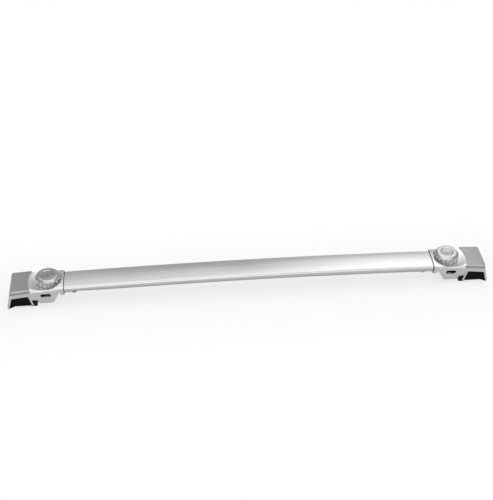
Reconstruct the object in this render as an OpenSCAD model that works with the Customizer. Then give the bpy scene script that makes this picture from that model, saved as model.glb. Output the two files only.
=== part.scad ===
// Roof rack crossbar: an arched hollow bar between two clamping feet that grip a vehicle's side rails.
// X runs along the bar, the viewer's side is -Y, and Z = 0 is the lowest edge of the feet.
// Each foot is drawn once, with its own origin on the knob axis and X pointing outboard.

/* [Bar] */
// Distance between the two knob axes
knob_spacing = 956; // [800:1:1200]
// Width of the bar, front to back
bar_width = 64; // [56:0.5:76]
// Thickness of the bar at its middle
bar_thickness = 20.6; // [18:0.1:24]
// Rounding of the bar's front and back edges
bar_nose_r = 9; // [7:0.5:9.5]
// Radius of the crown across the top of the bar
bar_crown_r = 260; // [200:5:400]
// Radius of the arch along the bar
bar_arch_r = 15600; // [12000:100:20000]
// Wall of the hollow bar
bar_wall = 2.2; // [1.8:0.1:2.6]
// Distance of each inner web from the middle of the bar
web_offset = 11; // [9:0.5:13]
// Height of the bar's mid-plane where it meets a foot
bar_height = 43; // [41:0.5:48]

/* [Foot casting] */
// Distance from the knob axis inboard to the end of the bar
seam_inset = 38; // [36:0.5:44]
// Thickness of the gasket between bar and foot
gasket_t = 1.4; // [1:0.1:3]
// How far the gasket stands out around the bar
gasket_lip = 0.4; // [0.2:0.1:1.5]
// How far the foot stands above the bar at the seam
seam_rise = 2.5; // [2:0.1:3.5]
// How far the foot hangs below the bar at the seam
seam_drop = 3.7; // [3:0.1:5]
// Length of the closed collar behind the seam
collar_l = 9; // [7:0.5:12]
// Half width of the foot at the seam
seam_half_w = 34.6; // [34:0.1:38]
// Half width of the foot at its outer end
end_half_w = 38.2; // [36:0.1:42]
// Rounding of the foot's shoulders
shoulder_r = 11; // [8:0.5:12]
// Radius of the top line of the foot, seen from the side
foot_crown_r = 1900; // [1500:50:2600]
// Wall of the casting
foot_wall = 3.5; // [3:0.1:4.5]
// Distance from the knob axis out to the lip of the outer wall
outer_reach = 99.5; // [94:0.5:104]
// Lean of the outer wall, in mm of run over its height
outer_lean = 13; // [10:0.5:15]
// Rounding of the two outer corners, seen from above
end_corner_r = 8; // [5:0.5:12]
// Depth of the skirt below the bar's mid-plane, beside the knob
skirt_depth = 2.5; // [2:0.5:4]

/* [Rail saddle] */
// Height of the seat on the rail above the lip of the outer wall
seat_h = 6.5; // [6:0.5:9]
// Seat pad thickness
pad_t = 3; // [2:0.5:4]
// Height of the tunnel roof at the inner wall
roof_inner_h = 35; // [33:0.5:36]
// Height of the tunnel roof at the outer wall
roof_outer_h = 31; // [29:0.5:33]
// Distance from the knob axis to the tunnel's inner top corner
tunnel_inner_x = 47; // [45:0.5:50]
// From the tunnel's outer top corner out to the lip of the outer wall
tunnel_margin = 13.5; // [11:0.5:17]
// Slant of the inner wall, in mm of run down to the seat
post_slant = 7.2; // [5:0.1:9]
// Thickness of the inner wall
post_t = 4.4; // [3.5:0.1:6]
// Thickness of the outer wall's lip
lip_t = 5; // [4:0.1:6]
// How far the rail block sits back from the casting's front
block_setback = 1.2; // [0.8:0.1:2]

/* [Top cover] */
// Depth of the cover's edge
cover_depth = 6; // [5:0.25:8]
// Height of the cover's top above the casting beside it
cover_rise = 1.8; // [0:0.1:3]
// Cover wall
cover_wall = 2.4; // [1.8:0.1:3]
// Open line between cover and casting
cover_gap = 1; // [0.6:0.1:1.6]
// Where the cover's inner edge crosses the middle of the foot
cover_inner_x = 47; // [45:0.5:52]
// Rounding of the cover's top edges
cover_edge_round = 2.4; // [1.5:0.1:3]
// Radius of the cover's inner edge, seen from above
cover_edge_r = 120; // [80:5:200]

/* [Tie-down loop] */
// Slot length
slot_l = 25; // [20:0.5:30]
// Slot height
slot_h = 10; // [8:0.5:12]
// Slot centre, outboard of the knob axis
slot_x = 6; // [2:0.5:8]
// Slot centre, below the bar's mid-plane
slot_drop = 9.5; // [9:0.5:11]
// Depth of the loop below the bar's mid-plane
loop_depth = 31; // [29:0.5:32]

/* [Knob] */
// Knob diameter
knob_d = 59; // [54:0.5:62]
// Knob height
knob_h = 20; // [17:0.5:22]
// Number of finger flutes
knob_flutes = 15; // [12:1:18]
// Flute radius
flute_r = 5; // [4:0.25:6]
// Depth of each flute
flute_depth = 2.6; // [1.5:0.1:3]
// Knob wall
knob_wall = 5; // [4.5:0.25:6]
// Radius of the disc set in the knob's top
cap_r = 14; // [12:0.5:16]
// Height of the dish floor under the knob, above the bar's mid-plane
dish_rise = 6.2; // [5:0.1:7]
// Open ring between the knob and the dish's wall
dish_gap = 3.5; // [2.5:0.25:5]
// Rise of the flare outboard of the dish, per mm
flare_slope = 0.18; // [0.1:0.01:0.22]

/* [Clamp] */
// Bolt diameter
bolt_d = 8; // [8:1:8]
// Thread pitch
bolt_pitch = 1.25; // [1.25:0.05:1.5]
// Turns from the rest position to fully tight
turns_tight = 1.5; // [1:0.5:1.5]
// Turns from the rest position to fully open
turns_open = 5; // [3:0.5:5]
// Width of the clamp jaw, front to back
jaw_w = 62; // [50:1:63]
// Thickness of the jaw's leg
jaw_leg_t = 6.2; // [5:0.2:7]
// Running clearance of a shaft in its bore
run_gap = 0.1; // [0.05:0.01:0.1]
// Clearance between parts that slot together
fit_gap = 0.3; // [0.2:0.05:0.4]

/* [Hidden] */
$fn = 96;
big = 256;
bar_half = knob_spacing / 2 - seam_inset;
bar_end_angle = asin(bar_half / bar_arch_r);
bar_half_t = bar_thickness / 2;
lean_angle = atan(outer_lean / (bar_height + bar_half_t + seam_rise));
deck_h = bar_height + dish_rise;
deck_t = 4;
rib_bottom = bar_height - slot_drop + slot_h / 2 + 0.5;
foot_top = bar_half_t + seam_rise;
foot_bottom = bar_half_t + seam_drop;
foot_l = outer_reach + seam_inset;
dish_r = knob_d / 2 + dish_gap;
washer_t = 1.5;
washer_r = 12;
knob_base = deck_h + 0.8;
knob_top = knob_base + knob_h;
hub_base = deck_h + washer_t;
hub_r = 11;
head_af = 13;
head_h = 5.3;
nut_h = 6.5;
bolt_r = bolt_d / 2;
bolt_end = 8;
bolt_head_h = knob_top - 12;
web_low_h = bar_height - 0.7 * loop_depth;
boss_r = 11;
boss_bottom = bar_height - 10;
ring_t = 1;
ring_r = 7.5;
ring_groove_r = 3.4;
travel_open = turns_open * bolt_pitch;
jaw_leg_x = tunnel_inner_x - post_slant - post_t - jaw_leg_t - 0.9;
jaw_foot = 0.6;
jaw_toe_t = 2.4;
jaw_toe_l = 8;
jaw_pad_t = 1.2;
jaw_head_t = 5.5;
jaw_head_h = bolt_end + travel_open + nut_h + 0.25;
jaw_head_w = 44;
screw_r = 2.5;
tunnel_outer_x = outer_reach - tunnel_margin;
cover_screw_x = (tunnel_inner_x + tunnel_outer_x) / 2;
cover_screw_top = bar_height + 5.5;
locator_h = 1.5;
cover_screw_y = 20;
bar_screw_r = 3;
bar_screw_x = 22;
bar_screw_y = 20;
spigot_l = 42;
block_half_w = seam_half_w + (end_half_w - seam_half_w) * (tunnel_inner_x + seam_inset) / foot_l - block_setback;
block_lip_h = 1.2;
pad_outer_x = tunnel_outer_x - 5.5;
pocket_l = (tunnel_outer_x - tunnel_inner_x) / 2 - 8.5;
screw_seat_r = 5.2;
cover_screw_head = seat_h + pad_t + 1.2;

// Frames: each foot's own place, and the slanting frame at the end of the bar

module at_right() {
    translate([knob_spacing / 2, 0, 0]) children();
}

module at_left() {
    rotate([0, 0, 180]) at_right() children();
}

// X' = 0 is the bar's end face, Z' = 0 its mid-plane; the bar lies on the -X' side.
module at_bar_end() {
    translate([-seam_inset, 0, bar_height]) rotate([0, bar_end_angle, 0]) children();
}

// Turns a flat outline (Y, Z) into a prism along X, from x0.
module along_x(x0, length) {
    translate([x0, 0, 0]) rotate([90, 0, 90]) linear_extrude(length) children();
}

// Turns a flat outline (X, Z) into a prism along Y, centred on the foot.
module along_y(width) {
    rotate([90, 0, 0]) linear_extrude(width, center = true) children();
}

// Outlines

function unit(v) = v / norm(v);

// A convex outline, listed clockwise or anticlockwise, with every corner rounded.
module rounded_polygon(corners, r) {
    n = len(corners);
    back = [for (i = [0:n - 1]) unit(corners[(i + n - 1) % n] - corners[i])];
    ahead = [for (i = [0:n - 1]) unit(corners[(i + 1) % n] - corners[i])];
    half = [for (i = [0:n - 1]) acos(back[i] * ahead[i]) / 2];
    polygon([for (i = [0:n - 1], side = [back[i], ahead[i]]) corners[i] + side * r / tan(half[i])]);
    for (i = [0:n - 1]) {
        translate(corners[i] + unit(back[i] + ahead[i]) * r / sin(half[i])) circle(r);
    }
}

// What is taken off a corner at the origin to round it: the two directions along its sides, and the radius.
module corner_bit(a, b, r) {
    half = acos(a * b) / 2;
    inward = unit(a + b);
    difference() {
        polygon([a * r / tan(half), -inward * r, b * r / tan(half)]);
        translate(inward * r / sin(half)) circle(r);
    }
}

// The bar's rounded section: width w, from bottom to top, side rounding r, crowned on top.
module oval(w, bottom, top, r, crown) {
    intersection() {
        union() {
            translate([-w / 2 + r, bottom]) square([w - 2 * r, top - bottom]);
            translate([-w / 2, bottom + r]) square([w, top - bottom - 2 * r]);
            for (x = [r - w / 2, w / 2 - r], y = [bottom + r, top - r]) {
                translate([x, y]) circle(r);
            }
        }
        translate([0, top - crown]) circle(crown, $fn = big);
    }
}

module bar_outline(grow = 0) {
    oval(bar_width + 2 * grow, -bar_half_t - grow, bar_half_t + grow, bar_nose_r + grow, bar_crown_r);
}

// The three hollow cells between the webs, drawn smaller by inset for what slots into them.
module bar_cells(inset = 0) {
    difference() {
        bar_outline(-bar_wall - inset);
        for (side = [-1, 1]) {
            translate([side * web_offset, 0]) square([bar_wall + 2 * inset, bar_thickness], center = true);
        }
    }
}

module hexagon(flats) {
    circle(flats / sqrt(3), $fn = 6);
}

// Half width of the foot at a distance x outboard of the knob axis.
function half_w(x) = seam_half_w + (end_half_w - seam_half_w) * (x + seam_inset) / foot_l;

// The foot seen from above, drawn smaller by inset.
module foot_plan(inset = 0) {
    start = -1.5 * seam_inset;
    end_x = outer_reach - inset;
    w = end_half_w - inset;
    intersection() {
        polygon([
            [start, inset - half_w(start)], [end_x + 5, inset - half_w(end_x + 5)],
            [end_x + 5, half_w(end_x + 5) - inset], [start, half_w(start) - inset]
        ]);
        union() {
            translate([start - 5, -w - 1]) square([end_x - start + 5 - end_corner_r, 2 * w + 2]);
            translate([0, end_corner_r - w]) square([end_x, 2 * w - 2 * end_corner_r]);
            for (side = [-1, 1]) {
                translate([end_x - end_corner_r, side * (w - end_corner_r)]) circle(end_corner_r);
            }
        }
    }
}

// The foot's plan drawn up, with its outer end leaning inward as it rises
module foot_prism(inset = 0) {
    translate([outer_reach, 0, 0]) rotate([0, -lean_angle, 0]) translate([-outer_reach, 0, -20]) {
        linear_extrude(2 * bar_height + 20) foot_plan(inset);
    }
}

// Outer face of the outer wall at height z.
function outer_x(z) = outer_reach - outer_lean * z / (bar_height + foot_top);
// Top line of the foot, and its downward slope, at a distance x outboard of the knob axis.
function crown_h(x) = bar_height + foot_top - (x + seam_inset) * (tan(bar_end_angle) + (x + seam_inset) / foot_crown_r / 2);
function cover_top(x) = crown_h(x) + cover_rise;
function crown_slope(x) = tan(bar_end_angle) + (x + seam_inset) / foot_crown_r;
// Tunnel roof at a distance x outboard of the knob axis.
function roof_h(x) = roof_inner_h + (roof_outer_h - roof_inner_h) * (x - tunnel_inner_x) / (tunnel_outer_x - tunnel_inner_x);
// Tunnel side of the inner wall and of the outer wall at height z.
function post_x(z) = tunnel_inner_x - post_slant * (roof_inner_h - z) / (roof_inner_h - seat_h);
function lip_x(z) = tunnel_outer_x + (outer_reach - lip_t - tunnel_outer_x) * (roof_outer_h - z) / roof_outer_h;

// Side view of the saddle end: roof, inner wall and outer wall.
module saddle_outline() {
    head_in = tunnel_inner_x - post_t;
    head_top = bar_height + foot_top + 4;
    polygon([
        [head_in, roof_h(head_in)], [head_in, head_top], [outer_x(head_top), head_top],
        [outer_x(roof_outer_h), roof_outer_h], [tunnel_outer_x, roof_outer_h]
    ]);
    rounded_polygon([
        [outer_x(roof_outer_h + 4), roof_outer_h + 4], [outer_x(0), 0], [lip_x(0), 0], [lip_x(roof_outer_h + 4), roof_outer_h + 4]
    ], 2);
    rounded_polygon([
        [post_x(roof_inner_h + 3) - post_t, roof_inner_h + 3], [post_x(roof_inner_h + 3), roof_inner_h + 3],
        [post_x(seat_h), seat_h], [post_x(seat_h) - post_t, seat_h]
    ], 1.8);
}

// Everything below the top line of the foot, lowered by drop.
module under_crown(drop = 0) {
    at_bar_end() along_y(4 * end_half_w) intersection() {
        translate([-2 * seam_inset, -2 * bar_height]) square([3 * foot_l, 3 * bar_height]);
        translate([0, foot_top - foot_crown_r]) circle(foot_crown_r - drop, $fn = big);
    }
}

// The part of the foot that the top cover takes, drawn smaller by inset.
module cover_zone(inset = 0) {
    difference() {
        foot_prism(inset);
        translate([cover_inner_x - cover_edge_r, 0, -bar_height]) {
            cylinder(r = cover_edge_r + inset, h = 4 * bar_height, $fn = big);
        }
    }
}

// What is taken off the cover's top edges to round them: both sides, then the outer end.
module rim_bits() {
    mid_x = (cover_inner_x + outer_reach) / 2;
    taper = atan((end_half_w - seam_half_w) / foot_l);
    rim_x = outer_x(cover_top(outer_reach - outer_lean));
    run = outer_reach - cover_inner_x + 8;
    for (side = [0, 1]) {
        mirror([0, side, 0]) translate([mid_x, half_w(mid_x), cover_top(mid_x)]) {
            rotate([0, atan(crown_slope(mid_x)), taper]) along_x(-run, 2 * run) corner_bit([-1, 0], [0, -1], cover_edge_round);
        }
    }
    translate([rim_x, 0, cover_top(rim_x)]) along_y(4 * end_half_w) {
        corner_bit(unit([-1, crown_slope(rim_x)]), unit([sin(lean_angle), -cos(lean_angle)]), cover_edge_round);
    }
}

// Foot casting: sleeve, dish, saddle walls, tie-down loops and bolt boss in one die casting

// A round dish that runs out into a flare on the outboard side
module dish_cut() {
    flare_r = 2 * dish_r;
    flare_h = deck_h + (flare_r - dish_r) * flare_slope;
    high = 2 * bar_height;
    translate([0, 0, deck_h]) cylinder(r = dish_r, h = 40);
    intersection() {
        rotate_extrude() polygon([[0, deck_h], [dish_r, deck_h], [flare_r, flare_h], [flare_r, high], [0, high]]);
        along_y(4 * end_half_w) polygon([
            [-seam_inset, deck_h + seam_inset / 4], [0, deck_h], [flare_r, deck_h - 1],
            [flare_r, high + 5], [-seam_inset, high + 5]
        ]);
    }
}

module sleeve_shell() {
    shell_w = 2 * half_w(cover_inner_x);
    at_bar_end() {
        along_x(gasket_t, collar_l) oval(shell_w, -foot_bottom, foot_top, shoulder_r, bar_crown_r);
        difference() {
            along_x(gasket_t, cover_inner_x + seam_inset) {
                oval(shell_w, -foot_bottom, foot_top, shoulder_r, bar_crown_r);
            }
            translate([gasket_t + collar_l, -50, -60]) cube([200, 100, 60 - skirt_depth]);
        }
    }
}

module tie_loops() {
    plate_t = foot_wall + 1;
    y = half_w(0) - plate_t / 2 - 0.6;
    corner = 6;
    for (side = [-1, 1]) {
        translate([0, side * y, 0]) along_y(plate_t) rounded_polygon([
            [slot_x - 34, bar_height], [slot_x - 16, bar_height - loop_depth],
            [slot_x + 18, bar_height - loop_depth], [slot_x + 27, bar_height]
        ], corner);
        // Web between the loop and the rail post
        translate([0, side * y, 0]) along_y(plate_t) polygon([
            [slot_x, bar_height], [slot_x + 12, web_low_h], [post_x(web_low_h) - post_t + 1, web_low_h],
            [tunnel_inner_x - 1, roof_inner_h], [tunnel_inner_x - 1, bar_height]
        ]);
    }
}

module tie_slot() {
    translate([slot_x, bar_height - slot_drop]) {
        square([slot_l - slot_h, slot_h], center = true);
        for (side = [-1, 1]) {
            translate([side * (slot_l - slot_h) / 2, 0]) circle(slot_h / 2);
        }
    }
}

module foot_cavity() {
    start = collar_l + gasket_t;
    inner_w = 2 * (half_w(0) - foot_wall - 0.6);
    at_bar_end() along_x(start, tunnel_inner_x - post_t - 1 + seam_inset - start) {
        oval(inner_w, -60, dish_rise - deck_t, shoulder_r - foot_wall, bar_crown_r);
    }
}

module spigots() {
    at_bar_end() along_x(-spigot_l, spigot_l + gasket_t + 1) difference() {
        bar_cells(fit_gap);
        square([2 * web_offset, bar_thickness], center = true);
    }
}

module foot_body() {
    difference() {
        union() {
            intersection() {
                foot_prism();
                under_crown();
                union() {
                    sleeve_shell();
                    along_y(4 * end_half_w) saddle_outline();
                }
            }
            tie_loops();
        }
        foot_cavity();
        dish_cut();
    }
    translate([0, 0, boss_bottom]) cylinder(r = boss_r, h = deck_h - deck_t - boss_bottom + 2);
    for (side = [0, 180]) {
        rotate([0, 0, side + 90]) translate([boss_r - 1, -1.5, rib_bottom]) {
            cube([half_w(0) - foot_wall - boss_r, 3, deck_h - deck_t - rib_bottom]);
        }
    }
}

module foot_casting() {
    difference() {
        union() {
            foot_body();
            spigots();
        }
        // Shelf and locating pad under the top cover
        difference() {
            translate([0, -50, 0]) cube([2 * outer_reach, 100, 100]);
            translate([cover_inner_x - cover_edge_r, 0, 0]) cylinder(r = cover_edge_r, h = 200, $fn = big);
            under_crown(cover_depth + cover_gap);
            intersection() {
                cover_zone(cover_wall + fit_gap);
                under_crown(cover_depth - locator_h);
            }
        }
        along_y(4 * end_half_w) tie_slot();
        translate([0, 0, boss_bottom - 1]) cylinder(r = bolt_r + run_gap, h = 30);
        cover_screw_places() cylinder(r = screw_r + run_gap, h = 80);
        at_bar_end() bar_screw_places() cylinder(r = bar_screw_r + run_gap, h = bar_thickness - 8);
    }
}

// Top cover: a thin cap over the saddle end

module top_cover() {
    difference() {
        intersection() {
            cover_zone(0);
            under_crown(-cover_rise);
        }
        rim_bits();
        under_crown(cover_depth);
        difference() {
            intersection() {
                cover_zone(cover_wall);
                under_crown(cover_wall - cover_rise);
            }
            cover_screw_places() cylinder(r = screw_r + 2.5, h = 100);
        }
        intersection() {
            cover_zone(cover_wall);
            under_crown(cover_depth - locator_h - run_gap);
        }
        cover_screw_places() cylinder(r = screw_r + run_gap, h = cover_screw_top + 0.5);
    }
}

module cover_screw_places() {
    for (side = [-1, 1]) {
        translate([cover_screw_x, side * cover_screw_y, 0]) children();
    }
}

module cover_screws() {
    head_h0 = cover_screw_head;
    cover_screw_places() {
        translate([0, 0, head_h0]) cylinder(r = screw_r, h = cover_screw_top - head_h0);
        difference() {
            translate([0, 0, head_h0]) cylinder(r = 4.6, h = 3);
            translate([0, 0, head_h0 - 1]) linear_extrude(2.6) hexagon(4);
        }
    }
}

// Rail block and seat pad: what rests on the vehicle's rail

module rail_block() {
    floor_h = seat_h + pad_t;
    g = fit_gap / 2;
    difference() {
        along_y(2 * block_half_w) polygon([
            [post_x(roof_inner_h) + g, roof_h(post_x(roof_inner_h)) - g], [tunnel_outer_x - g, roof_outer_h - g],
            [lip_x(block_lip_h) - g, block_lip_h], [lip_x(block_lip_h) - 2.5, block_lip_h],
            [pad_outer_x, seat_h], [pad_outer_x, floor_h], [post_x(floor_h) + g, floor_h]
        ]);
        // Two lightening pockets, open towards the roof
        for (x = [tunnel_inner_x + 4, cover_screw_x + 6]) {
            translate([x, 4 - block_half_w, floor_h + 4]) cube([pocket_l, 2 * block_half_w - 8, 40]);
        }
        cover_screw_places() {
            cylinder(r = screw_r + fit_gap, h = 60);
            cylinder(r = screw_seat_r, h = cover_screw_head + 3);
        }
    }
}

module seat_pad() {
    floor_h = seat_h + pad_t;
    g = fit_gap / 2;
    difference() {
        along_y(2 * block_half_w) polygon([
            [post_x(floor_h) + g, floor_h], [pad_outer_x - g, floor_h],
            [pad_outer_x - g, seat_h], [post_x(seat_h) + g, seat_h]
        ]);
        cover_screw_places() cylinder(r = screw_seat_r, h = floor_h + 1);
    }
}

// Bar, its gasket and its screws

module crossbar() {
    difference() {
        for (side = [0, 1]) {
            mirror([side, 0, 0]) translate([0, 0, bar_height - bar_arch_r * cos(bar_end_angle)]) {
                rotate([0, -90, -90]) rotate_extrude(angle = bar_end_angle, $fn = big) {
                    translate([bar_arch_r, 0]) rotate(-90) difference() {
                        bar_outline();
                        bar_cells();
                    }
                }
            }
        }
        for (end = [0, 180]) {
            rotate([0, 0, end]) at_right() at_bar_end() bar_screw_places() {
                cylinder(r = bar_screw_r + 0.2, h = bar_half_t);
            }
        }
    }
}

module bar_gasket() {
    at_bar_end() along_x(0, gasket_t) difference() {
        bar_outline(gasket_lip);
        bar_cells(fit_gap - 0.3);
    }
}

// Drawn from below the bar, upwards
module bar_screw_places() {
    for (side = [-1, 1]) {
        translate([-bar_screw_x, side * bar_screw_y, -bar_half_t - 1]) children();
    }
}

module bar_screws() {
    at_bar_end() bar_screw_places() difference() {
        union() {
            cylinder(r = bar_screw_r, h = bar_thickness - 9);
            translate([0, 0, -2.6]) cylinder(r = 5.4, h = 3.55);
        }
        translate([0, 0, -3.6]) linear_extrude(3) hexagon(4);
    }
}

// Knob, with its bolt, disc, washer and retaining ring

module knob() {
    r = knob_d / 2;
    bevel = 5.5;
    difference() {
        translate([0, 0, knob_base]) rotate_extrude() polygon([
            [0, knob_h - 12], [hub_r, knob_h - 12], [hub_r, knob_h - 5], [r - knob_wall, knob_h - 6],
            [r - knob_wall, 0], [r - 0.6, 0], [r, 0.6], [r - 0.8, knob_h - bevel], [r - bevel, knob_h - 0.4],
            [r - bevel - 1.2, knob_h], [cap_r + 1.4, knob_h], [cap_r + 0.2, knob_h - 1.2], [0, knob_h - 1.2]
        ]);
        for (i = [0:knob_flutes - 1]) {
            rotate([0, 0, (i + 0.5) * 360 / knob_flutes]) translate([r - flute_depth + flute_r, 0, knob_base - 1]) {
                cylinder(r = flute_r, h = knob_h, $fn = 48);
            }
        }
        translate([0, 0, knob_top - 2.6]) cylinder(r = cap_r + 0.2, h = 5);
        translate([0, 0, bolt_head_h]) linear_extrude(20) hexagon(head_af + 0.2);
        cylinder(r = bolt_r + run_gap, h = 100);
    }
    difference() {
        translate([0, 0, hub_base]) cylinder(r = hub_r, h = bolt_head_h - hub_base);
        cylinder(r = bolt_r + run_gap, h = 100);
    }
}

module knob_disc() {
    translate([0, 0, knob_top - 2.6]) rotate_extrude() polygon([
        [0, 0], [cap_r, 0], [cap_r, 1.4], [cap_r - 0.6, 2], [0, 1.6]
    ]);
}

module clamp_bolt() {
    difference() {
        union() {
            translate([0, 0, bolt_end]) cylinder(r = bolt_r, h = bolt_head_h - bolt_end);
            translate([0, 0, bolt_head_h]) linear_extrude(head_h) hexagon(head_af);
        }
        translate([0, 0, boss_bottom - ring_t - 0.3]) difference() {
            cylinder(r = bolt_r + 1, h = ring_t + 0.2);
            cylinder(r = ring_groove_r, h = ring_t + 0.2);
        }
    }
}

module retaining_ring() {
    translate([0, 0, boss_bottom - ring_t - 0.2]) linear_extrude(ring_t) difference() {
        circle(ring_r);
        circle(ring_groove_r + 0.05);
        translate([0, -2.6]) square([ring_r + 1, 5.2]);
    }
}

module thrust_washer() {
    translate([0, 0, deck_h]) linear_extrude(washer_t) difference() {
        circle(washer_r);
        circle(bolt_r + run_gap);
    }
}

// Clamp jaw, lifted by the bolt's nut so that its toe grips the rail from below

module clamp_jaw() {
    head_in = -13;
    cup = head_af + 9;
    difference() {
        union() {
            along_y(jaw_w) union() {
                rounded_polygon([
                    [jaw_leg_x, jaw_foot], [jaw_leg_x + jaw_leg_t, jaw_foot],
                    [jaw_leg_x + jaw_leg_t, jaw_head_h + jaw_head_t], [jaw_leg_x, jaw_head_h + jaw_head_t]
                ], 1);
                rounded_polygon([
                    [jaw_leg_x + 1, jaw_foot], [jaw_leg_x + jaw_leg_t + jaw_toe_l, jaw_foot],
                    [jaw_leg_x + jaw_leg_t + jaw_toe_l, jaw_foot + jaw_toe_t], [jaw_leg_x + 1, jaw_foot + jaw_toe_t]
                ], 0.9);
            }
            translate([head_in, -jaw_head_w / 2, jaw_head_h]) cube([jaw_leg_x + 2 - head_in, jaw_head_w, jaw_head_t]);
            translate([-cup / 2, -cup / 2, jaw_head_h - nut_h + 0.5]) cube([cup, cup, nut_h]);
            for (side = [-1, 1]) {
                translate([0, side * 17, 0]) along_y(4) polygon([
                    [jaw_leg_x + 1, jaw_head_h + 1], [6, jaw_head_h + 1], [jaw_leg_x + 1, jaw_foot + 4]
                ]);
            }
        }
        cylinder(r = bolt_r + 0.5, h = 60);
        linear_extrude(jaw_head_h) hexagon(head_af + 0.2);
    }
}

module jaw_pad() {
    translate([jaw_leg_x + jaw_leg_t, -jaw_w / 2 + 2, jaw_foot + jaw_toe_t]) cube([jaw_toe_l - 0.6, jaw_w - 4, jaw_pad_t]);
}

module jaw_nut() {
    translate([0, 0, jaw_head_h - nut_h]) difference() {
        intersection() {
            linear_extrude(nut_h) hexagon(head_af);
            rotate_extrude() polygon([
                [0, 0], [head_af / 2, 0], [head_af / 2 + 1.1, 1.1],
                [head_af / 2 + 1.1, nut_h - 1.1], [head_af / 2, nut_h], [0, nut_h]
            ]);
        }
        cylinder(r = bolt_r + run_gap, h = 3 * nut_h, center = true);
    }
}

silver = [0.72, 0.73, 0.74];
dark = [0.08, 0.08, 0.09];
steel = [0.6, 0.6, 0.62];

color(silver) crossbar();
color(silver) at_left() foot_casting();  // left_foot_casting
color(silver) at_left() top_cover();  // left_top_cover
color(dark) at_left() rail_block();  // left_rail_block
color(dark) at_left() seat_pad();  // left_seat_pad
color(dark) at_left() bar_gasket();  // left_bar_gasket
color(steel) at_left() bar_screws();  // left_bar_screws
color(steel) at_left() cover_screws();  // left_cover_screws
color(dark) at_left() thrust_washer();  // left_thrust_washer
color(silver) at_left() knob();  // left_knob
color(silver) at_left() knob_disc();  // left_knob_disc
color(steel) at_left() clamp_bolt();  // left_clamp_bolt
color(steel) at_left() retaining_ring();  // left_retaining_ring
color(dark) at_left() clamp_jaw();  // left_clamp_jaw
color(dark) at_left() jaw_pad();  // left_jaw_pad
color(steel) at_left() jaw_nut();  // left_jaw_nut
color(silver) at_right() foot_casting();  // right_foot_casting
color(silver) at_right() top_cover();  // right_top_cover
color(dark) at_right() rail_block();  // right_rail_block
color(dark) at_right() seat_pad();  // right_seat_pad
color(dark) at_right() bar_gasket();  // right_bar_gasket
color(steel) at_right() bar_screws();  // right_bar_screws
color(steel) at_right() cover_screws();  // right_cover_screws
color(dark) at_right() thrust_washer();  // right_thrust_washer
color(silver) at_right() knob();  // right_knob
color(silver) at_right() knob_disc();  // right_knob_disc
color(steel) at_right() clamp_bolt();  // right_clamp_bolt
color(steel) at_right() retaining_ring();  // right_retaining_ring
color(dark) at_right() clamp_jaw();  // right_clamp_jaw
color(dark) at_right() jaw_pad();  // right_jaw_pad
color(steel) at_right() jaw_nut();  // right_jaw_nut
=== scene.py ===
import math

import bmesh
import bpy
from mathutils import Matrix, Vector


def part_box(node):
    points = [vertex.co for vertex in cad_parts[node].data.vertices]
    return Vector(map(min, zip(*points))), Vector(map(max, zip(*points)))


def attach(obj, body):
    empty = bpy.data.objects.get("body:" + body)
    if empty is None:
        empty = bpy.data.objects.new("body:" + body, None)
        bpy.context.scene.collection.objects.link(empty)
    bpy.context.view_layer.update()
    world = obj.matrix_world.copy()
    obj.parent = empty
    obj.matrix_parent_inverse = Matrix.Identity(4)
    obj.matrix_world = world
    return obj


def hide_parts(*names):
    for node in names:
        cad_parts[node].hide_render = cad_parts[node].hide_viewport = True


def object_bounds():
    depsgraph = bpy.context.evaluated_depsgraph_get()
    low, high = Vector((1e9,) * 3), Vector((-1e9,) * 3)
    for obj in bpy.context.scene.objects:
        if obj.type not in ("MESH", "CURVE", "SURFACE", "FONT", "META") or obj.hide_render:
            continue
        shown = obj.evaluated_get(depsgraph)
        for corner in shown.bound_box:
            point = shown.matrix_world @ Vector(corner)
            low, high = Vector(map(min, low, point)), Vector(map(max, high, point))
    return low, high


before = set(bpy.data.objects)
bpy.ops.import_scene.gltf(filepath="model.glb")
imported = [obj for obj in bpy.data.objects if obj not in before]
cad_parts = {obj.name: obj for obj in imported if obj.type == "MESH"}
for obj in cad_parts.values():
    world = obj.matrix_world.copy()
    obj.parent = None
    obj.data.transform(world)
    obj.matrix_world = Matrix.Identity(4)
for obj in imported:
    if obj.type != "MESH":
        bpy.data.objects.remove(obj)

# Finishes, bolt threads and stage of a clamp-on roof rack crossbar.
# Everything is in metres, in the frame's own axes: X runs along the bar, Z is up.

bl_info = {
    "name": "Roof Rack Crossbar",
    "version": (1, 0, 0),
    "blender": (4, 5, 0),
    "location": "3D View > Sidebar > Crossbar",
    "description": "Finishes, clamp bolt threads and a plain stage for a clamp-on roof rack crossbar",
    "category": "Object",
}

CAD_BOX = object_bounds()
BAR_END = CAD_BOX[1][0]
SIDES = ("left", "right")
BOLT_LOW, BOLT_HIGH = (Vector(corner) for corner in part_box("left_clamp_bolt"))
RING_LOW, RING_HIGH = (Vector(corner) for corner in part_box("left_retaining_ring"))
# Room above and below the ring in the bolt's groove
RING_PLAY = 0.0001
# Length of the bolt's pointed tip, and how much it narrows there
BOLT_TIP = 0.0004
# Points of each ring of the bolt's shank, a multiple of its head's six corners
SHANK_POINTS = 72


def hex_colour(text):
    """An sRGB hex colour as the linear RGBA that shaders read."""
    channels = [int(text[i:i + 2], 16) / 255 for i in (0, 2, 4)]
    linear = [c / 12.92 if c <= 0.04045 else ((c + 0.055) / 1.055) ** 2.4 for c in channels]
    return (*linear, 1.0)


def colour_property(name, description, text):
    """A colour, whose default is given as sRGB hex."""
    return bpy.props.FloatVectorProperty(
        name=name, description=description, subtype="COLOR", size=4, min=0.0, max=1.0,
        default=hex_colour(text),
    )


def length_property(name, description, metres):
    """A length from 0 up."""
    return bpy.props.FloatProperty(
        name=name, description=description, subtype="DISTANCE", unit="LENGTH",
        min=0.0, precision=5, default=metres,
    )


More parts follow.
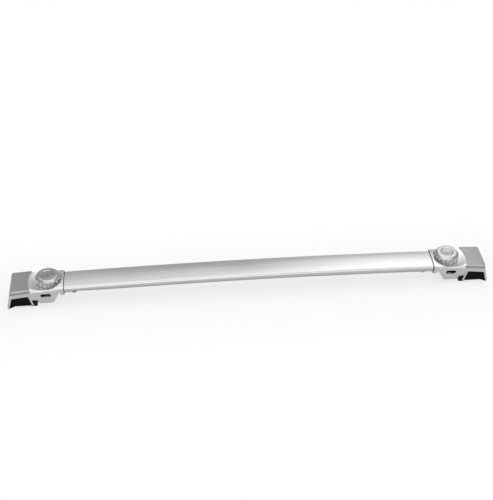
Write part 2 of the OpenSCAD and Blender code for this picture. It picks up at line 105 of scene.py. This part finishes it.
def angle_property(name, description, degrees):
    """An angle, whose default is given in degrees."""
    return bpy.props.FloatProperty(
        name=name, description=description, subtype="ANGLE", default=math.radians(degrees),
    )


def number_property(name, description, value, **settings):
    """A number from 0 up."""
    return bpy.props.FloatProperty(
        name=name, description=description, min=0.0, default=value, **settings,
    )


class CrossbarFinishes(bpy.types.PropertyGroup):
    """Colours and pattern sizes of the crossbar's finishes."""

    bar_colour: colour_property("Bar", "Anodised aluminium of the bar", "D8D9DA")
    cast_colour: colour_property("Foot castings", "Silver paint on the cast feet", "E0E1E2")
    cover_colour: colour_property("Top covers", "Silver paint on the moulded covers", "B6B7B8")
    knob_colour: colour_property("Knobs", "Silver paint on the clamp knobs", "C4C5C6")
    disc_colour: colour_property("Knob discs", "Silver paint on the discs in the knobs", "AEAFB0")
    # The rail blocks' near-black is partly the nylon's own colour and partly painted shade of the rail
    # tunnel they fill.
    plastic_colour_and_shade: colour_property("Rail blocks", "Black glass-filled nylon", "070708")
    rubber_colour: colour_property("Rubber", "Black EPDM of pads and gaskets", "0C0C0D")
    jaw_colour: colour_property("Clamp jaws", "Black dip coat on the steel jaws", "0D0D0E")
    zinc_colour: colour_property("Hardware", "Zinc plate on screws, bolts and nuts", "BFC3C7")
    acetal_colour: colour_property("Thrust washers", "Black acetal", "1E1E20")
    die_line: length_property("Die line spacing", "Spacing of the fine lines along the bar", 0.0016)
    paint_ripple: length_property("Paint ripple", "Width of the ripples in silver paint", 0.0026)
    flake: length_property("Metal flake", "Size of the glints in silver paint", 0.0007)
    mould_grain: length_property("Moulded grain", "Grain size of the black plastic", 0.0008)


class CrossbarBolts(bpy.types.PropertyGroup):
    """Sizes of the two clamp bolts, which match the CAD bolts they stand for."""

    radius: length_property("Thread radius", "Outer radius of the thread", 0.004)
    root_radius: length_property("Root radius", "Radius at the bottom of the thread", 0.00339)
    pitch: length_property("Pitch", "Rise of the thread in one turn", 0.00125)
    thread_low: length_property("Thread start", "Height at which the thread starts", BOLT_LOW.z + BOLT_TIP)
    thread_high: length_property("Thread end", "Height at which the thread runs out", 0.0300)
    groove_low: length_property("Groove floor", "Lower edge of the ring groove", RING_LOW.z - RING_PLAY)
    groove_high: length_property("Groove top", "Upper edge of the ring groove", RING_HIGH.z + RING_PLAY)
    groove_radius: length_property("Groove radius", "Radius at the bottom of the ring groove", 0.0034)
    head_width: length_property("Head width", "Width of the hex head across flats", BOLT_HIGH.y - BOLT_LOW.y)
    head_height: length_property("Head height", "Height of the hex head", 0.0053)
    turn_points: bpy.props.IntProperty(
        name="Points per turn", description="Points of the helix in one turn", min=12, default=40,
    )


class CrossbarStage(bpy.types.PropertyGroup):
    """Floor, lamps and camera."""

    floor_colour: colour_property("Floor", "White matt card floor", "E6E6E6")
    floor_half: length_property("Floor reach", "Distance from the middle to the floor's edge", 9.0)
    floor_glow: number_property("Floor glow", "White that the floor gives the camera of itself", 0.20)
    softening: number_property(
        "Shadow softening", "Share of plain white in the floor that the camera sees", 0.7, max=1.0,
    )
    shadow_near: length_property("Shadow fade start", "Distance from the bar where its shadow fades", 0.04)
    shadow_far: length_property("Shadow fade end", "Distance from the bar where all is plain white", 0.22)
    sky: number_property("Sky", "Strength of the even white light from all round", 0.10)
    dusk: number_property(
        "Reflected studio", "Share of the studio's white that the metal reflects", 0.33, max=1.0,
    )
    rear_power: number_property("Rear softbox", "Power of the softbox behind the right end", 4.0)
    front_power: number_property("Front softbox", "Power of the low, broad softbox in front", 20.0)
    top_power: number_property("Overhead softbox", "Power of the softbox above the bar", 64.0)
    lens: number_property("Lens", "Focal length for a 36 mm wide frame", 77.01, unit="CAMERA")
    distance: length_property("Distance", "From the camera to the point it looks at", 2.48676)
    azimuth: angle_property("Azimuth", "Camera's turn round the bar", -5.152)
    elevation: angle_property("Elevation", "Camera's height above the level", 38.303)
    target: bpy.props.FloatVectorProperty(
        name="Target", description="Point the camera looks at", subtype="XYZ", unit="LENGTH", size=3,
        default=(-0.00795, 0.0, 0.1090),
    )


def add_node(tree, kind, inputs=None, **settings):
    """Adds a node. Each input is a value, or the socket of another node to link."""
    node = tree.nodes.new(kind)
    for name, value in settings.items():
        setattr(node, name, value)
    for key, value in (inputs or {}).items():
        if isinstance(value, bpy.types.NodeSocket):
            tree.links.new(value, node.inputs[key])
        else:
            node.inputs[key].default_value = value
    return node


def new_material(name, **constants):
    """A material with a Principled surface and its constants, and the object's own coordinates."""
    material = bpy.data.materials.new(name)
    material.use_nodes = True
    tree = material.node_tree
    tree.nodes.clear()
    surface = add_node(tree, "ShaderNodeBsdfPrincipled")
    for key, value in constants.items():
        surface.inputs[key.replace("_", " ")].default_value = value
    add_node(tree, "ShaderNodeOutputMaterial", {"Surface": surface.outputs["BSDF"]})
    place = add_node(tree, "ShaderNodeTexCoord").outputs["Object"]
    return material, tree, surface, place


def pattern(tree, place, size, stretch=(1, 1, 1), detail=2.0):
    """Soft noise whose blobs are as wide as size, longer along an axis by its stretch."""
    scale = tuple(1 / (size * s) for s in stretch)
    mapped = add_node(tree, "ShaderNodeMapping", {"Vector": place, "Scale": scale})
    return add_node(tree, "ShaderNodeTexNoise", {
        "Vector": mapped.outputs["Vector"], "Scale": 1.0, "Detail": detail, "Roughness": 0.55,
    }).outputs["Fac"]


def tinted(tree, value, colour, shades, span):
    """The colour, from its darker to its lighter shade as value goes over its span."""
    dark, light = (tuple(min(c * shade, 1.0) for c in colour[:3]) + (1.0,) for shade in shades)
    tone = add_node(tree, "ShaderNodeMapRange", {
        "Value": value, "From Min": span[0], "From Max": span[1],
    }).outputs["Result"]
    return add_node(tree, "ShaderNodeMix", {0: tone, 6: dark, 7: light}, data_type="RGBA").outputs[2]


# Soft noise seldom leaves this span, and a cell's random value fills its own.
NOISE_SPAN = (0.3, 0.7)
FULL_SPAN = (0.0, 1.0)


def dress(
    tree, surface, colour, tone, shades, cloud, roughness, skin, depth, strength,
    edges=None, span=NOISE_SPAN,
):
    """Gives a surface its colour, shine and relief. The pattern tone takes the colour from its
    darker to its lighter shade, cloud takes the roughness from its low to its high value, and skin
    is a bump as deep as depth, over the normal of the edges if they are given."""
    tree.links.new(tinted(tree, tone, colour, shades, span), surface.inputs["Base Color"])
    shine = add_node(tree, "ShaderNodeMapRange", {
        "Value": cloud, "From Min": NOISE_SPAN[0], "From Max": NOISE_SPAN[1],
        "To Min": roughness[0], "To Max": roughness[1],
    })
    tree.links.new(shine.outputs["Result"], surface.inputs["Roughness"])
    bump = add_node(tree, "ShaderNodeBump", {"Height": skin, "Distance": depth, "Strength": strength})
    if edges:
        tree.links.new(edges, bump.inputs["Normal"])
    tree.links.new(bump.outputs["Normal"], surface.inputs["Normal"])


def anodised_aluminium(name, colour, die_line):
    """Extruded 6063 aluminium, satin anodised. The die leaves fine lines along the bar, which
    draw its highlights out lengthways. The lines are drawn coarser than the real 0.3 mm, to show."""
    material, tree, surface, place = new_material(name, Metallic=1.0, Anisotropic=0.35)
    lines = pattern(tree, place, size=die_line, stretch=(220, 1, 1), detail=3.0)
    cloud = pattern(tree, place, size=0.09, stretch=(3, 1, 1))
    dress(
        tree, surface, colour, tone=lines, shades=(0.93, 1.07), cloud=cloud, roughness=(0.34, 0.40),
        skin=lines, depth=0.00002, strength=0.6,
    )
    return material


def silver_paint(name, colour, ripple, flake, roughness, metallic):
    """Silver metallic lacquer over a casting or a moulding. Its flakes glint a little from point
    to point, its skin has the slight ripple of sprayed paint, and it lies round over the edges.
    The flakes are drawn coarser than the real 0.05 mm, to show."""
    material, tree, surface, place = new_material(
        name, Metallic=metallic, Coat_Weight=0.12, Coat_Roughness=0.25,
    )
    flakes = add_node(tree, "ShaderNodeTexVoronoi", {"Vector": place, "Scale": 1 / flake})
    glint = add_node(tree, "ShaderNodeSeparateColor", {"Color": flakes.outputs["Color"]}).outputs["Red"]
    skin = pattern(tree, place, size=ripple)
    cloud = pattern(tree, place, size=0.03)
    rounded = add_node(tree, "ShaderNodeBevel", {"Radius": 0.0006}, samples=6).outputs["Normal"]
    dress(
        tree, surface, colour, tone=glint, shades=(0.92, 1.08), span=FULL_SPAN,
        cloud=cloud, roughness=(roughness - 0.03, roughness + 0.04),
        skin=skin, depth=0.00003, strength=0.7, edges=rounded,
    )
    return material


def moulded_nylon(name, colour, grain):
    """Glass-filled black nylon, moulded with a spark-eroded grain that breaks up its shine. Its near-black
    colour and its shine, turned down below real nylon's, are partly painted shade of the deep rail tunnel it
    sits in. Faint grey flow marks run through it, and the mould leaves its edges a little round. The grain
    is drawn coarser than the real 0.1 mm, to show."""
    # The specular level of 0.12 is below real nylon's: painted shade, so that the rail tunnel reads black.
    material, tree, surface, place = new_material(name, IOR=1.53, Specular_IOR_Level=0.12)
    grains = add_node(tree, "ShaderNodeTexVoronoi", {"Vector": place, "Scale": 1 / grain})
    flow = pattern(tree, place, size=0.012, stretch=(3, 1, 1))
    rounded = add_node(tree, "ShaderNodeBevel", {"Radius": 0.0004}, samples=6).outputs["Normal"]
    dress(
        tree, surface, colour, tone=flow, shades=(0.8, 1.35), cloud=flow, roughness=(0.48, 0.60),
        skin=grains.outputs["Distance"], depth=0.00005, strength=0.7, edges=rounded,
    )
    return material


def moulded_rubber(name, colour):
    """Moulded EPDM rubber: nearly black and matt, a little chalky where its skin is rough."""
    material, tree, surface, place = new_material(name, IOR=1.52)
    skin = pattern(tree, place, size=0.0012, detail=4.0)
    bloom = pattern(tree, place, size=0.010)
    dress(
        tree, surface, colour, tone=bloom, shades=(0.8, 1.6), cloud=bloom, roughness=(0.68, 0.82),
        skin=skin, depth=0.00006, strength=0.8,
    )
    return material


def dip_coated_steel(name, colour):
    """Stamped steel under a black dip coat: semi-gloss, with the coat's soft sags and the round
    that it draws over the edges."""
    material, tree, surface, place = new_material(name, IOR=1.55, Specular_IOR_Level=0.3)
    sag = pattern(tree, place, size=0.005, stretch=(1, 1, 3))
    fine = pattern(tree, place, size=0.0011)
    rounded = add_node(tree, "ShaderNodeBevel", {"Radius": 0.0007}, samples=6).outputs["Normal"]
    sagged = add_node(tree, "ShaderNodeBump", {
        "Height": sag, "Distance": 0.00012, "Strength": 0.5, "Normal": rounded,
    }).outputs["Normal"]
    dress(
        tree, surface, colour, tone=sag, shades=(0.85, 1.3), cloud=sag, roughness=(0.30, 0.42),
        skin=fine, depth=0.00003, strength=0.6, edges=sagged,
    )
    return material


def zinc_plate(name, colour):
    """Bright zinc plate on steel: a cool metal with the cloudy bloom of the passivated coat."""
    material, tree, surface, place = new_material(name, Metallic=1.0)
    cloud = pattern(tree, place, size=0.0035, detail=3.0)
    fine = pattern(tree, place, size=0.0006)
    dress(
        tree, surface, colour, tone=cloud, shades=(0.82, 1.08), cloud=cloud, roughness=(0.24, 0.40),
        skin=fine, depth=0.00002, strength=0.5,
    )
    return material


def machined_acetal(name, colour):
    """Black acetal turned on a lathe: smooth, waxy and a little uneven in its shine."""
    material, tree, surface, place = new_material(name, IOR=1.48)
    skin = pattern(tree, place, size=0.0009)
    dress(
        tree, surface, colour, tone=skin, shades=(0.85, 1.3), span=FULL_SPAN,
        cloud=skin, roughness=(0.34, 0.44), skin=skin, depth=0.00002, strength=0.5,
    )
    return material


def pair(part):
    """The left and the right CAD node of a part."""
    return [f"{side}_{part}" for side in SIDES]


def paint(material, *nodes):
    """Gives CAD nodes a material."""
    for node in nodes:
        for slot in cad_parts[node].material_slots:
            slot.material = material


def ring(mesh, radius, height, hexagonal):
    """A closed ring of vertices round the Z axis, as a circle, or as a hexagon by its flats."""
    verts = []
    for i in range(SHANK_POINTS):
        angle = 2 * math.pi * i / SHANK_POINTS
        reach = radius
        if hexagonal:
            off_flat = (angle + math.pi / 6) % (math.pi / 3) - math.pi / 6
            reach = radius / math.cos(off_flat)
        verts.append(mesh.verts.new((reach * math.cos(angle), reach * math.sin(angle), height)))
    return verts


def turned_shank(name, sizes, low, high):
    """The bolt without its thread: a rod with a pointed tip, a ring groove and a hex head."""
    root, full, groove = sizes.root_radius, sizes.radius, sizes.groove_radius
    flat = sizes.head_width / 2
    head = high - sizes.head_height
    # The head's two ends are turned to a circle just inside its flats, over short chamfers.
    turned = 0.96 * flat
    lower_chamfer, upper_chamfer = 0.0005, 0.0007
    run_out = 0.0006
    rings = [
        (root - BOLT_TIP, low, False), (root, low + BOLT_TIP, False),
        (root, sizes.thread_high, False), (full, sizes.thread_high + run_out, False),
        (full, sizes.groove_low, False), (groove, sizes.groove_low, False),
        (groove, sizes.groove_high, False), (full, sizes.groove_high, False),
        (full, head, False), (turned, head, False), (flat, head + lower_chamfer, True),
        (flat, high - upper_chamfer, True), (turned, high, False),
    ]
    mesh = bmesh.new()
    loops = [ring(mesh, *outline) for outline in rings]
    for lower, upper in zip(loops, loops[1:]):
        for i in range(SHANK_POINTS):
            j = (i + 1) % SHANK_POINTS
            mesh.faces.new((lower[i], lower[j], upper[j], upper[i]))
    mesh.faces.new(loops[0][::-1])
    mesh.faces.new(loops[-1])
    data = bpy.data.meshes.new(name)
    mesh.to_mesh(data)
    mesh.free()
    return data


def thread_tree():
    """A helix of thread joined to the shank it is given, built from its pitch and radii."""
    tree = bpy.data.node_groups.new("Clamp Bolt Thread", "GeometryNodeTree")
    face = tree.interface
    face.new_socket("Geometry", in_out="INPUT", socket_type="NodeSocketGeometry")
    for name in ("Thread Radius", "Root Radius", "Pitch", "Thread Start", "Thread End"):
        face.new_socket(name, in_out="INPUT", socket_type="NodeSocketFloat")
    face.new_socket("Points per Turn", in_out="INPUT", socket_type="NodeSocketInt")
    face.new_socket("Finish", in_out="INPUT", socket_type="NodeSocketMaterial")
    face.new_socket("Geometry", in_out="OUTPUT", socket_type="NodeSocketGeometry")
    sizes = add_node(tree, "NodeGroupInput").outputs
    radii = {0: sizes["Thread Radius"], 1: sizes["Root Radius"]}
    heights = {0: sizes["Thread End"], 1: sizes["Thread Start"]}
    crest = add_node(tree, "ShaderNodeMath", radii, operation="SUBTRACT").outputs[0]
    across = add_node(tree, "ShaderNodeMath", radii, operation="ADD").outputs[0]
    middle = add_node(tree, "ShaderNodeMath", {0: across, 1: 0.5}, operation="MULTIPLY").outputs[0]
    rise = add_node(tree, "ShaderNodeMath", heights, operation="SUBTRACT").outputs[0]
    turns = add_node(tree, "ShaderNodeMath", {0: rise, 1: sizes["Pitch"]}, operation="DIVIDE").outputs[0]
    helix = add_node(tree, "GeometryNodeCurveSpiral", {
        "Resolution": sizes["Points per Turn"], "Rotations": turns,
        "Start Radius": middle, "End Radius": middle, "Height": rise,
    })
    upright = add_node(tree, "GeometryNodeSetCurveNormal", {"Curve": helix.outputs[0]}, mode="Z_UP")
    # A square turned on its corner gives the thread's ridge, and its inner half sinks in the root.
    ridge = add_node(tree, "GeometryNodeCurvePrimitiveCircle", {"Resolution": 4, "Radius": crest})
    thread = add_node(tree, "GeometryNodeCurveToMesh", {
        "Curve": upright.outputs[0], "Profile Curve": ridge.outputs[0], "Fill Caps": True,
    })
    lift = add_node(tree, "ShaderNodeCombineXYZ", {"Z": sizes["Thread Start"]})
    raised = add_node(tree, "GeometryNodeTransform", {
        "Geometry": thread.outputs[0], "Translation": lift.outputs[0],
    })
    joined = add_node(tree, "GeometryNodeJoinGeometry")
    tree.links.new(raised.outputs[0], joined.inputs[0])
    tree.links.new(sizes["Geometry"], joined.inputs[0])
    real = add_node(tree, "GeometryNodeRealizeInstances", {"Geometry": joined.outputs[0]})
    finish = add_node(tree, "GeometryNodeSetMaterial", {
        "Geometry": real.outputs[0], "Material": sizes["Finish"],
    })
    add_node(tree, "NodeGroupOutput", {"Geometry": finish.outputs[0]})
    return tree


def evaluated_mesh(obj, tree, values, name):
    """The plain mesh that a Geometry Nodes tree makes of an object, with its inputs set."""
    modifier = obj.modifiers.new(tree.name, "NODES")
    modifier.node_group = tree
    for item in tree.interface.items_tree:
        if item.in_out == "INPUT" and item.name in values:
            modifier[item.identifier] = values[item.name]
    depsgraph = bpy.context.evaluated_depsgraph_get()
    data = bpy.data.meshes.new_from_object(obj.evaluated_get(depsgraph), depsgraph=depsgraph)
    data.name = name
    obj.modifiers.remove(modifier)
    return data


class CROSSBAR_OT_finish_bar(bpy.types.Operator):
    """Gives the crossbar its satin anodised aluminium"""

    bl_idname = "crossbar.finish_bar"
    bl_label = "Finish the Bar"
    bl_options = {"REGISTER", "UNDO"}

    def execute(self, context):
        finish = context.scene.crossbar_finishes
        metal = anodised_aluminium("anodised_aluminium_extrusion", finish.bar_colour, finish.die_line)
        paint(metal, "crossbar")
        return {"FINISHED"}


class CROSSBAR_OT_finish_feet(bpy.types.Operator):
    """Gives the foot castings and their top covers silver paint"""

    bl_idname = "crossbar.finish_feet"
    bl_label = "Finish the Feet"
    bl_options = {"REGISTER", "UNDO"}

    def execute(self, context):
        finish = context.scene.crossbar_finishes
        sprayed = {"ripple": finish.paint_ripple, "flake": finish.flake, "metallic": 0.85}
        cast = silver_paint("silver_painted_casting", finish.cast_colour, roughness=0.33, **sprayed)
        cover = silver_paint("silver_painted_cover", finish.cover_colour, roughness=0.31, **sprayed)
        paint(cast, *pair("foot_casting"))
        paint(cover, *pair("top_cover"))
        return {"FINISHED"}


class CROSSBAR_OT_finish_knobs(bpy.types.Operator):
    """Gives the clamp knobs and the discs in them silver paint"""

    bl_idname = "crossbar.finish_knobs"
    bl_label = "Finish the Knobs"
    bl_options = {"REGISTER", "UNDO"}

    def execute(self, context):
        finish = context.scene.crossbar_finishes
        sprayed = {"ripple": finish.paint_ripple, "flake": finish.flake}
        knob = silver_paint(
            "silver_painted_knob", finish.knob_colour, roughness=0.25, metallic=0.9, **sprayed,
        )
        disc = silver_paint(
            "silver_painted_disc", finish.disc_colour, roughness=0.28, metallic=0.85, **sprayed,
        )
        paint(knob, *pair("knob"))
        paint(disc, *pair("knob_disc"))
        return {"FINISHED"}


class CROSSBAR_OT_finish_rail_seats(bpy.types.Operator):
    """Gives the rail blocks black nylon, darkened further as painted shade of the rail tunnel, the pads and
    gaskets rubber, and the washers acetal
    """

    bl_idname = "crossbar.finish_rail_seats"
    bl_label = "Finish the Rail Seats"
    bl_options = {"REGISTER", "UNDO"}

    def execute(self, context):
        finish = context.scene.crossbar_finishes
        nylon = moulded_nylon("black_nylon_and_painted_shade", finish.plastic_colour_and_shade, finish.mould_grain)
        rubber = moulded_rubber("black_epdm_rubber", finish.rubber_colour)
        acetal = machined_acetal("black_acetal", finish.acetal_colour)
        paint(nylon, *pair("rail_block"))
        paint(rubber, *pair("seat_pad"), *pair("bar_gasket"), *pair("jaw_pad"))
        paint(acetal, *pair("thrust_washer"))
        return {"FINISHED"}


class CROSSBAR_OT_finish_clamps(bpy.types.Operator):
    """Gives the clamp jaws a black coat, and the screws, rings and nuts zinc plate"""

    bl_idname = "crossbar.finish_clamps"
    bl_label = "Finish the Clamps"
    bl_options = {"REGISTER", "UNDO"}

    def execute(self, context):
        finish = context.scene.crossbar_finishes
        coated = dip_coated_steel("black_dip_coated_steel", finish.jaw_colour)
        zinc = zinc_plate("zinc_plated_steel", finish.zinc_colour)
        paint(coated, *pair("clamp_jaw"))
        for part in ("bar_screws", "cover_screws", "clamp_bolt", "retaining_ring", "jaw_nut"):
            paint(zinc, *pair(part))
        return {"FINISHED"}


class CROSSBAR_OT_make_clamp_bolts(bpy.types.Operator):
    """Makes each clamp bolt again, with its thread, hex head and ring groove"""

    bl_idname = "crossbar.make_clamp_bolts"
    bl_label = "Make the Clamp Bolts"
    bl_options = {"REGISTER", "UNDO"}

    def execute(self, context):
        sizes = context.scene.crossbar_bolts
        tree = thread_tree()
        values = {
            "Thread Radius": sizes.radius, "Root Radius": sizes.root_radius, "Pitch": sizes.pitch,
            "Thread Start": sizes.thread_low, "Thread End": sizes.thread_high,
            "Points per Turn": sizes.turn_points, "Finish": bpy.data.materials["zinc_plated_steel"],
        }
        for side in SIDES:
            node = f"{side}_clamp_bolt"
            low, high = (Vector(corner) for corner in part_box(node))
            centre = (low + high) / 2
            shank = turned_shank(f"{side}_shank", sizes, low.z, high.z)
            maker = bpy.data.objects.new(f"{side}_shank", shank)
            context.collection.objects.link(maker)
            data = evaluated_mesh(maker, tree, values, f"{side}_threaded_bolt")
            bpy.data.objects.remove(maker)
            for vertex in data.vertices:
                vertex.co.x += centre.x
                vertex.co.y += centre.y
            bolt = bpy.data.objects.new(f"{side}_threaded_bolt", data)
            context.collection.objects.link(bolt)
            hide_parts(node)
            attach(bolt, f"{side}_knob")
        return {"FINISHED"}


def aim(obj, point):
    """Turns a lamp or a camera to look at a point."""
    obj.rotation_euler = (Vector(point) - obj.location).to_track_quat("-Z", "Y").to_euler()


def softbox(context, name, place, aim_at, width, height, power):
    """A rectangular lamp."""
    data = bpy.data.lights.new(name, "AREA")
    data.shape = "RECTANGLE"
    data.size, data.size_y, data.energy = width, height, power
    lamp = bpy.data.objects.new(name, data)
    lamp.location = place
    aim(lamp, aim_at)
    context.collection.objects.link(lamp)


def distance_from_bar(tree, place):
    """How far a point of the floor lies from the line under the bar's middle, in metres."""
    bar_end = (BAR_END, 0, 0)
    folded = add_node(tree, "ShaderNodeVectorMath", {0: place}, operation="ABSOLUTE").outputs[0]
    past = add_node(tree, "ShaderNodeVectorMath", {0: folded, 1: bar_end}, operation="SUBTRACT").outputs[0]
    clear = add_node(tree, "ShaderNodeVectorMath", {0: past, 1: (0, 0, 0)}, operation="MAXIMUM").outputs[0]
    return add_node(tree, "ShaderNodeVectorMath", {0: clear}, operation="LENGTH").outputs["Value"]


def background_rays(tree, reflected):
    """1 for rays from the camera or through a clear part, which see the white studio itself, and
    reflected for rays off a gloss."""
    path = add_node(tree, "ShaderNodeLightPath").outputs
    gloss = {0: path["Is Glossy Ray"], 1: reflected}
    glossy = add_node(tree, "ShaderNodeMath", gloss, operation="MULTIPLY").outputs[0]
    direct = {0: path["Is Camera Ray"], 1: path["Is Transmission Ray"]}
    seen = add_node(tree, "ShaderNodeMath", direct, operation="MAXIMUM").outputs[0]
    return add_node(tree, "ShaderNodeMath", {0: seen, 1: glossy}, operation="MAXIMUM").outputs[0]


class CROSSBAR_OT_set_stage(bpy.types.Operator):
    """Sets the white floor, the soft lamps and the camera"""

    bl_idname = "crossbar.set_stage"
    bl_label = "Set the Stage"
    bl_options = {"REGISTER", "UNDO"}

    def execute(self, context):
        scene = context.scene
        stage = scene.crossbar_stage
        self.lay_floor(context, stage)
        self.whiten_world(context, stage)
        self.hang_lamps(context, stage)
        self.place_camera(context, stage)
        scene.view_settings.view_transform = "Standard"
        return {"FINISHED"}

    def lay_floor(self, context, stage):
        half = stage.floor_half
        mesh = bmesh.new()
        corners = ((-half, -half), (half, -half), (half, half), (-half, half))
        mesh.faces.new([mesh.verts.new((x, y, 0)) for x, y in corners])
        data = bpy.data.meshes.new("studio_floor")
        mesh.to_mesh(data)
        mesh.free()
        floor = bpy.data.objects.new("studio_floor", data)
        context.collection.objects.link(floor)
        data.materials.append(self.white_card(stage))

    def white_card(self, stage):
        """Matt white card with a faint fibre. For the camera alone it has a little white of its own,
        its shadows are softened, as on a lit table, and further off it is plain white. The metal
        reflects the bare card, with its shadows at full depth."""
        material, tree, surface, place = new_material("white_card", Roughness=0.9)
        fibre = pattern(tree, place, size=0.004)
        card = tinted(tree, fibre, stage.floor_colour, shades=(0.99, 1.01), span=FULL_SPAN)
        tree.links.new(card, surface.inputs["Base Color"])
        direct = background_rays(tree, reflected=0.0)
        glow = add_node(tree, "ShaderNodeMath", {0: direct, 1: stage.floor_glow}, operation="MULTIPLY")
        surface.inputs["Emission Color"].default_value = (1, 1, 1, 1)
        tree.links.new(glow.outputs[0], surface.inputs["Emission Strength"])
        plain = add_node(tree, "ShaderNodeMapRange", {
            "Value": distance_from_bar(tree, place),
            "From Min": stage.shadow_near, "From Max": stage.shadow_far,
            "To Min": stage.softening, "To Max": 1.0,
        })
        camera_ray = add_node(tree, "ShaderNodeLightPath").outputs["Is Camera Ray"]
        share = add_node(
            tree, "ShaderNodeMath", {0: camera_ray, 1: plain.outputs["Result"]}, operation="MULTIPLY",
        )
        white = add_node(tree, "ShaderNodeEmission", {"Color": (1, 1, 1, 1), "Strength": 1.0})
        seen = add_node(tree, "ShaderNodeMixShader", {
            0: share.outputs[0], 1: surface.outputs["BSDF"], 2: white.outputs["Emission"],
        })
        tree.links.new(seen.outputs[0], tree.get_output_node("ALL").inputs["Surface"])
        return material

    def whiten_world(self, context, stage):
        world = bpy.data.worlds.new("studio_white")
        world.use_nodes = True
        tree = world.node_tree
        tree.nodes.clear()
        strength = add_node(tree, "ShaderNodeMapRange", {
            "Value": background_rays(tree, stage.dusk), "To Min": stage.sky, "To Max": 1.0,
        })
        glow = add_node(tree, "ShaderNodeBackground", {
            "Color": (1, 1, 1, 1), "Strength": strength.outputs["Result"],
        })
        add_node(tree, "ShaderNodeOutputWorld", {"Surface": glow.outputs[0]})
        context.scene.world = world

    def hang_lamps(self, context, stage):
        # The gap between the front softbox and the overhead one lies where the bar's flat top
        # mirrors it to a viewer behind, so the bar stays grey from there too.
        softbox(
            context, "rear_softbox", place=(1.05, 1.8, 2.0), aim_at=(0.35, 0, 0.05),
            width=1.0, height=0.8, power=stage.rear_power,
        )
        softbox(
            context, "front_softbox", place=(-0.2, -2.9, 0.75), aim_at=(0, 0, 0.04),
            width=3.4, height=1.4, power=stage.front_power,
        )
        softbox(
            context, "top_softbox", place=(0.1, -0.3, 2.2), aim_at=(0.1, -0.3, 0),
            width=4.4, height=4.2, power=stage.top_power,
        )

    def place_camera(self, context, stage):
        data = bpy.data.cameras.new("photo_camera")
        data.sensor_fit = "HORIZONTAL"
        data.sensor_width = 36.0
        data.lens = stage.lens
        data.clip_start, data.clip_end = 0.05, 50.0
        camera = bpy.data.objects.new("photo_camera", data)
        level = math.cos(stage.elevation)
        back = Vector((
            math.sin(stage.azimuth) * level, -math.cos(stage.azimuth) * level, math.sin(stage.elevation),
        ))
        camera.location = Vector(stage.target) + back * stage.distance
        aim(camera, stage.target)
        context.collection.objects.link(camera)
        context.scene.camera = camera


STEPS = (
    CROSSBAR_OT_finish_bar,
    CROSSBAR_OT_finish_feet,
    CROSSBAR_OT_finish_knobs,
    CROSSBAR_OT_finish_rail_seats,
    CROSSBAR_OT_finish_clamps,
    CROSSBAR_OT_make_clamp_bolts,
    CROSSBAR_OT_set_stage,
)
GROUPS = {
    "crossbar_finishes": CrossbarFinishes,
    "crossbar_bolts": CrossbarBolts,
    "crossbar_stage": CrossbarStage,
}


class CROSSBAR_PT_panel(bpy.types.Panel):
    """Lists the crossbar's sizes and the steps that dress it"""

    bl_idname = "CROSSBAR_PT_panel"
    bl_label = "Roof Rack Crossbar"
    bl_space_type = "VIEW_3D"
    bl_region_type = "UI"
    bl_category = "Crossbar"

    def draw(self, context):
        layout = self.layout
        for group in GROUPS:
            values = getattr(context.scene, group)
            box = layout.box()
            for name in values.__annotations__:
                box.prop(values, name)
        for step in STEPS:
            layout.operator(step.bl_idname)


CLASSES = (*GROUPS.values(), *STEPS, CROSSBAR_PT_panel)


def register():
    for cls in CLASSES:
        bpy.utils.register_class(cls)
    for name, group in GROUPS.items():
        setattr(bpy.types.Scene, name, bpy.props.PointerProperty(type=group))


def unregister():
    for name in GROUPS:
        delattr(bpy.types.Scene, name)
    for cls in reversed(CLASSES):
        bpy.utils.unregister_class(cls)


def main():
    register()
    for step in STEPS:
        family, action = step.bl_idname.split(".")
        getattr(getattr(bpy.ops, family), action)()


if __name__ == "__main__":
    main()
